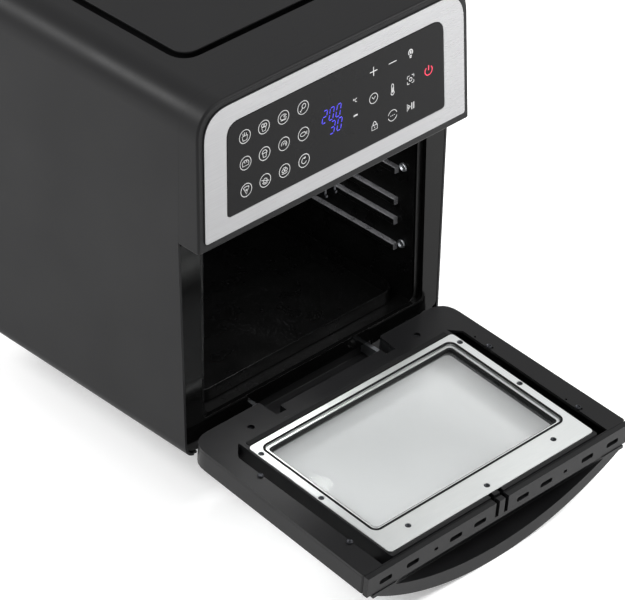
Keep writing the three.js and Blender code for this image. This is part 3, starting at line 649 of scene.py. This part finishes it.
# %% [markdown]
# ## Printed icons
#
# The panel is printed with twelve programme pictures in rings and ten key symbols. Each is drawn as thin
# strokes: a curve with a round bevel is turned to mesh and flattened to a film of ink. Strokes are lists
# of points in a unit circle, and round ones come from a formula, so a picture takes a line or two.

# %% Draw strokes on the panel
INK = 0.12 * MM  # how far the ink stands on the glass


def arc(x, y, wide, high, start, end, steps=16):
    angles = [math.radians(start + (end - start) * i / steps) for i in range(steps + 1)]
    return [(x + wide * math.cos(a), y + high * math.sin(a)) for a in angles]


def ring(x, y, radius, steps=24):
    return arc(x, y, radius, radius, 0, 360, steps)


def draw(name, strokes, centre, size, line, finish):
    """Strokes of unit points about centre (x, v) on the face, size mm per unit, line mm wide."""
    curve = bpy.data.curves.new(name, "CURVE")
    curve.dimensions = "3D"
    curve.bevel_depth = line / 2 * MM
    curve.bevel_resolution = 1
    curve.use_fill_caps = True
    for stroke in strokes:
        spline = curve.splines.new("POLY")
        closed = stroke[0] == stroke[-1] or math.dist(stroke[0], stroke[-1]) < 1e-6
        points = stroke[:-1] if closed else stroke
        spline.points.add(len(points) - 1)
        spline.use_cyclic_u = closed
        for point, (u, v) in zip(spline.points, points):
            point.co = ((centre[0] + u * size) * MM, 0, (centre[1] + v * size) * MM, 1)
    drawing = bpy.data.objects.new(name, curve)
    bpy.context.scene.collection.objects.link(drawing)
    only(drawing)
    bpy.ops.object.convert(target="MESH")
    drawing = bpy.context.object
    drawing.scale.y = INK / (line / 2 * MM)
    place_in_mesh(drawing)
    place_in_mesh(drawing, FACE @ Matrix.Translation((0, -GLASS_PROUD, 0)))
    return hand_over(drawing, name, finish, "oven")


ICON_X = (-101.6, -81.0, -59.8, -38.3)
ICON_V = (90.5, 66.0, 41.0)
ICON_RING = 5.9
PICTURES = {
    "fries": [[(-0.5, 0.1), (-0.35, -0.6), (0.35, -0.6), (0.5, 0.1), (-0.5, 0.1)],
        [(-0.3, 0.1), (-0.35, 0.55)], [(-0.05, 0.1), (-0.05, 0.65)], [(0.25, 0.1), (0.3, 0.5)]],
    "popcorn": [ring(-0.2, 0.3, 0.25, 12), ring(0.25, 0.25, 0.25, 12),
        [(-0.4, 0), (-0.25, -0.6), (0.25, -0.6), (0.4, 0), (-0.4, 0)]],
    "steak": [arc(0, 0.05, 0.6, 0.4, 20, 340), ring(0.2, 0.1, 0.14, 10), [(-0.5, -0.4), (0.5, -0.45)]],
    "drumstick": [ring(0.15, 0.2, 0.35, 14), [(-0.1, -0.05), (-0.5, -0.5)], [(-0.6, -0.35), (-0.4, -0.6)]],
    "bread": [arc(0, 0, 0.6, 0.45, 0, 180), [(-0.6, 0), (-0.55, -0.4), (0.55, -0.4), (0.6, 0)],
        [(-0.2, 0.3), (-0.1, 0)], [(0.15, 0.35), (0.25, 0)]],
    "cupcake": [arc(0, 0.1, 0.45, 0.45, 0, 180), [(-0.45, 0.1), (0.45, 0.1)],
        [(-0.35, 0.1), (-0.25, -0.55), (0.25, -0.55), (0.35, 0.1)]],
    "prawn": [arc(0, -0.05, 0.5, 0.45, -60, 200), arc(0.05, -0.1, 0.22, 0.2, -40, 190, 10)],
    "fish": [arc(-0.1, 0, 0.5, 0.3, 30, 330), [(0.33, 0.15), (0.65, -0.25), (0.65, 0.25), (0.33, -0.15)]],
    "pizza": [[(-0.5, 0.4), (0, -0.6), (0.5, 0.4)], arc(0, 0.4, 0.5, 0.15, 0, 180, 8),
        ring(0, 0, 0.12, 8)],
    "roast": [ring(0, 0, 0.35, 14), [(-0.7, 0.25), (0.7, -0.25)], arc(0, 0, 0.55, 0.55, 200, 320, 8)],
    "dried_fruit": [ring(-0.25, 0, 0.24, 12), ring(0.28, 0.05, 0.24, 12), arc(0, -0.35, 0.5, 0.12, 180, 360, 8),
        [(-0.3, 0.45), (0.3, 0.45)]],
    "reheat": [arc(0, 0, 0.45, 0.45, 60, 340), [(0.2, 0.6), (0.25, 0.38), (0.02, 0.3)]],
}
for number, (name, strokes) in enumerate(PICTURES.items()):
    spot = (ICON_X[number % len(ICON_X)], ICON_V[number // len(ICON_X)])
    draw(f"icon_{name}", [ring(0, 0, 1, 36), *strokes], spot, ICON_RING, 0.7, printed_ink)

# %% [markdown]
# The key symbols stand without rings, and the power key is lit red. Their sizes differ, so each has its
# own place, size and strokes.

# %% Key symbols
SYMBOLS = {
    "plus": ((40.3, 91.4), 4.2, 1.0, [[(-1, 0), (1, 0)], [(0, -1), (0, 1)]]),
    "minus": ((61.9, 91.0), 4.4, 0.9, [[(-1, 0), (1, 0)]]),
    "lamp": ((82.4, 91.0), 5.0, 1.2, [arc(0, 0.2, 0.45, 0.5, -50, 230), [(-0.25, -0.45), (0.25, -0.45)],
        [(-0.2, -0.75), (0.2, -0.75)], [(-0.2, 0.2), (0.2, 0.2)], [(0, 0.5), (0, -0.1)]]),
    "clock": ((40.1, 66.3), 4.6, 0.7, [ring(0, 0, 1), [(-0.4, 0.35), (0, -0.15), (0.45, 0.3)]]),
    "thermometer": ((61.7, 65.7), 5.6, 0.8, [arc(0, 0.6, 0.2, 0.3, 0, 180, 8), [(-0.2, 0.6), (-0.2, -0.3)],
        [(0.2, 0.6), (0.2, -0.3)], ring(0, -0.6, 0.32, 12), [(0, 0.3), (0, -0.6)]]),
    "timer": ((82.4, 66.6), 4.6, 0.75, [[(-0.8, 0.3), (-0.8, 0.8), (-0.3, 0.8)], [(0.3, 0.8), (0.8, 0.8),
        (0.8, 0.3)], [(-0.8, -0.3), (-0.8, -0.8), (-0.3, -0.8)], [(0.3, -0.8), (0.8, -0.8), (0.8, -0.3)],
        ring(0, 0, 0.35, 12)]),
    "lock": ((41.0, 40.4), 4.4, 0.8, [[(-0.7, 0.05), (-0.7, -0.9), (0.7, -0.9), (0.7, 0.05), (-0.7, 0.05)],
        arc(0, 0.05, 0.42, 0.75, 0, 180), [(0, -0.25), (0, -0.6)]]),
    "turning": ((61.6, 41.2), 5.0, 0.7, [arc(0, 0, 1, 1, 15, 165), arc(0, 0, 1, 1, 195, 345),
        [(-0.5, 0), (-0.3, 0)], [(-0.1, 0), (0.1, 0)], [(0.3, 0), (0.5, 0)]]),
    "start_pause": ((82.4, 41.0), 4.0, 1.1, [[(-1, 0.8), (-1, -0.8), (-0.1, 0), (-1, 0.8)],
        [(-0.75, 0.3), (-0.75, -0.3), (-0.5, 0)], [(0.35, 0.8), (0.35, -0.8)], [(0.9, 0.8), (0.9, -0.8)]]),
    "degree_mark": ((19.8, 72.9), 2.2, 0.6, [ring(-0.9, 0.5, 0.3, 8), arc(0.35, 0, 0.65, 0.7, 60, 300, 8)]),
    "minute_mark": ((19.6, 58.9), 2.4, 0.8, [[(-0.9, -0.2), (1, -0.2)], [(-0.9, 0.15), (0.9, 0.15)]]),
}
for name, (spot, size, line, strokes) in SYMBOLS.items():
    draw(f"symbol_{name}", strokes, spot, size, line, printed_ink)
draw("symbol_power", [arc(0, 0, 1, 1, 130, 410), [(0, 0.1), (0, 1.15)]], (103.2, 66.5), 4.2, 1.1, red_led)

# %% [markdown]
# ## The lit display
#
# The digits are seven-segment lamps that lean to the right. A digit is a list of its lit segments, and
# each segment is one short stroke with a gap at its ends.

# %% Seven-segment digits
SEGMENTS = {
    "top": ((0, 1), (1, 1)), "middle": ((0, 0), (1, 0)), "bottom": ((0, -1), (1, -1)),
    "upper_left": ((0, 0), (0, 1)), "upper_right": ((1, 0), (1, 1)),
    "lower_left": ((0, -1), (0, 0)), "lower_right": ((1, -1), (1, 0)),
}
LIT = {
    "0": ("top", "bottom", "upper_left", "upper_right", "lower_left", "lower_right"),
    "2": ("top", "upper_right", "middle", "lower_left", "bottom"),
    "3": ("top", "upper_right", "middle", "lower_right", "bottom"),
}
DIGIT_WIDE, DIGIT_HIGH, DIGIT_PITCH, DIGIT_LEAN = 0.8, 1.0, 1.4, 0.2


def digit_strokes(text):
    strokes = []
    for place, digit in enumerate(text):
        for segment in LIT[digit]:
            (x0, y0), (x1, y1) = SEGMENTS[segment]
            ends = []
            for t in (0.13, 0.87):
                y = (y0 + (y1 - y0) * t) * DIGIT_HIGH
                x = (x0 + (x1 - x0) * t) * DIGIT_WIDE + place * DIGIT_PITCH + DIGIT_LEAN * y
                ends.append((x, y))
            strokes.append(ends)
    return strokes


draw("display_temperature", digit_strokes("200"), (-17.0, 71.8), 5.5, 1.05, blue_led)
draw("display_minutes", digit_strokes("30"), (-8.4, 58.6), 5.5, 1.05, blue_led)

# %% [markdown]
# ## Window gasket
#
# A black gasket fills the joint between the plate's window and the glass. It is a thin rounded frame: a
# plane with its corners bevelled, inset, its middle deleted, and given thickness by Solidify.

# %% A rounded frame
def rounded_frame(half_wide, y_low, y_high, radius, wide, low, thick):
    """A flat rounded frame in mm, with its outer edge at the given sides and its lower face at low."""
    bpy.ops.object.select_all(action="DESELECT")
    bpy.ops.mesh.primitive_plane_add(size=1, location=(0, (y_low + y_high) / 2 * MM, low * MM))
    piece = bpy.context.object
    piece.scale = (2 * half_wide * MM, (y_high - y_low) * MM, 1)
    place_in_mesh(piece)
    bpy.ops.object.mode_set(mode="EDIT")
    bpy.ops.mesh.select_mode(type="VERT")
    bpy.ops.mesh.select_all(action="SELECT")
    bpy.ops.mesh.bevel(offset=radius * MM, segments=8, affect="VERTICES")
    bpy.ops.mesh.select_mode(type="FACE")
    bpy.ops.mesh.select_all(action="SELECT")
    bpy.ops.mesh.inset(thickness=wide * MM)
    bpy.ops.mesh.delete(type="FACE")
    bpy.ops.object.mode_set(mode="OBJECT")
    apply_modifier(piece, "SOLIDIFY", thickness=thick * MM, offset=1)
    return piece


bpy.data.objects["door_outer_glass_fine"].data.materials[0] = tinted_glass

gasket = rounded_frame(150 - 38.8 + 0.6, -168.5 - 0.6, -32.7 + 0.6, 7.4, 2.0, 17.3, 0.7)
place_in_mesh(gasket, DOOR)
round_edges(gasket, 0.15, 2)
hand_over(gasket, "window_gasket", silicone_rubber, "door")

rim = rounded_frame(109.4, -167.3, -33.9, 6.5, 2.6, 15.2, 1.0)
place_in_mesh(rim, DOOR)
round_edges(rim, 0.2, 2)
hand_over(rim, "window_rim", stainless_sheet, "door")

spacer = rounded_frame(106.8, -164.7, -36.5, 5.5, 1.2, 11.3, 3.8)
place_in_mesh(spacer, DOOR)
round_edges(spacer, 0.2, 2)
hand_over(spacer, "window_spacer", dark_polypropylene, "door")
print("window frames:", gasket.name, rim.name, spacer.name)

# %% [markdown]
# ## Floor and plinth
#
# The oven stands on a plain pale floor, which glows a little, as a light table does, so that shadows stay
# faint. The open door's bow reaches below the feet, so a plinth carries the feet. It narrows downwards to
# stay out of sight. Both are stage, not part of the object.

# %% Stage
floor_finish = grained("light_table", "#ececec", "#f2f2f2", 0.7, 4, 0.02, 400,
    Emission_Color=colour("#ffffff"), Emission_Strength=0.25)
bpy.ops.object.select_all(action="DESELECT")
bpy.ops.mesh.primitive_plane_add(size=12, location=(0, 0, 0))
floor = bpy.context.object
floor.name = "floor"
floor.data.materials.append(floor_finish)

feet_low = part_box("foot_front_left")[0]
back_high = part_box("foot_back_right")[1]
bpy.ops.mesh.primitive_cube_add(size=1, location=(0, (feet_low.y + back_high.y) / 2, feet_low.z / 2))
plinth = bpy.context.object
plinth.scale = (2 * back_high.x, back_high.y - feet_low.y, feet_low.z - 0.2 * MM)
place_in_mesh(plinth)
for point in plinth.data.vertices:
    point.select = point.co.z < 1 * MM
bpy.ops.object.mode_set(mode="EDIT")
bpy.ops.mesh.select_mode(type="VERT")
bpy.ops.transform.resize(value=(0.5, 0.5, 1))
bpy.ops.object.mode_set(mode="OBJECT")
plinth.name = "plinth"
plinth.data.materials.append(floor_finish)

# %% [markdown]
# ## Light
#
# A pale surrounding gives soft even light, as a white tent does. One large lamp from the left and above
# draws the long highlight on the shell's shoulder, and a second from the right lifts the bezel.

# %% World and lamps
def aim(light, target):
    light.rotation_mode = "QUATERNION"
    light.rotation_quaternion = (Vector(target) - light.location).to_track_quat("-Z", "Y")


world = bpy.data.worlds.new("studio")
world.use_nodes = True
world.node_tree.nodes["Background"].inputs["Color"].default_value = colour("#ffffff")
world.node_tree.nodes["Background"].inputs["Strength"].default_value = 0.8
bpy.context.scene.world = world

LAMPS = {
    "shoulder": ((-1.86, 1.82, 2.09), (-0.15, 0.1, 0.38), 1.3, 75),
    "key": ((0.9, -1.3, 2.4), (0.2, -0.3, 0.1), 1.6, 18),
    "table_right": ((0.78, -0.7, 0.8), (0.7, -0.5, 0), 0.4, 11),
    "cavity": ((0, -0.015, 0.262), (0, 0.12, 0.1), 0.12, 0.6),
}
for name, (spot, target, size, watts) in LAMPS.items():
    bpy.ops.object.light_add(type="AREA", location=spot)
    lamp = bpy.context.object
    lamp.name = name
    lamp.data.shape = "DISK"
    lamp.data.size = size
    lamp.data.energy = watts
    aim(lamp, target)

# %% [markdown]
# ## Camera
#
# A long lens from the front left and above, which keeps the verticals nearly parallel.

# %% Camera
bpy.ops.object.camera_add(location=(-1.9197, -2.02524, 2.05628))
camera = bpy.context.object
camera.data.lens = 231.31
camera.data.sensor_width = 36
camera.data.clip_start, camera.data.clip_end = 0.1, 50
look = Vector((0.5717, 0.5914, -0.5687))
camera.rotation_mode = "QUATERNION"
camera.rotation_quaternion = look.to_track_quat("-Z", "Y") @ Quaternion((0, 0, 1), math.radians(0.5353))
bpy.context.scene.camera = camera
bpy.context.scene.view_settings.view_transform = "Standard"
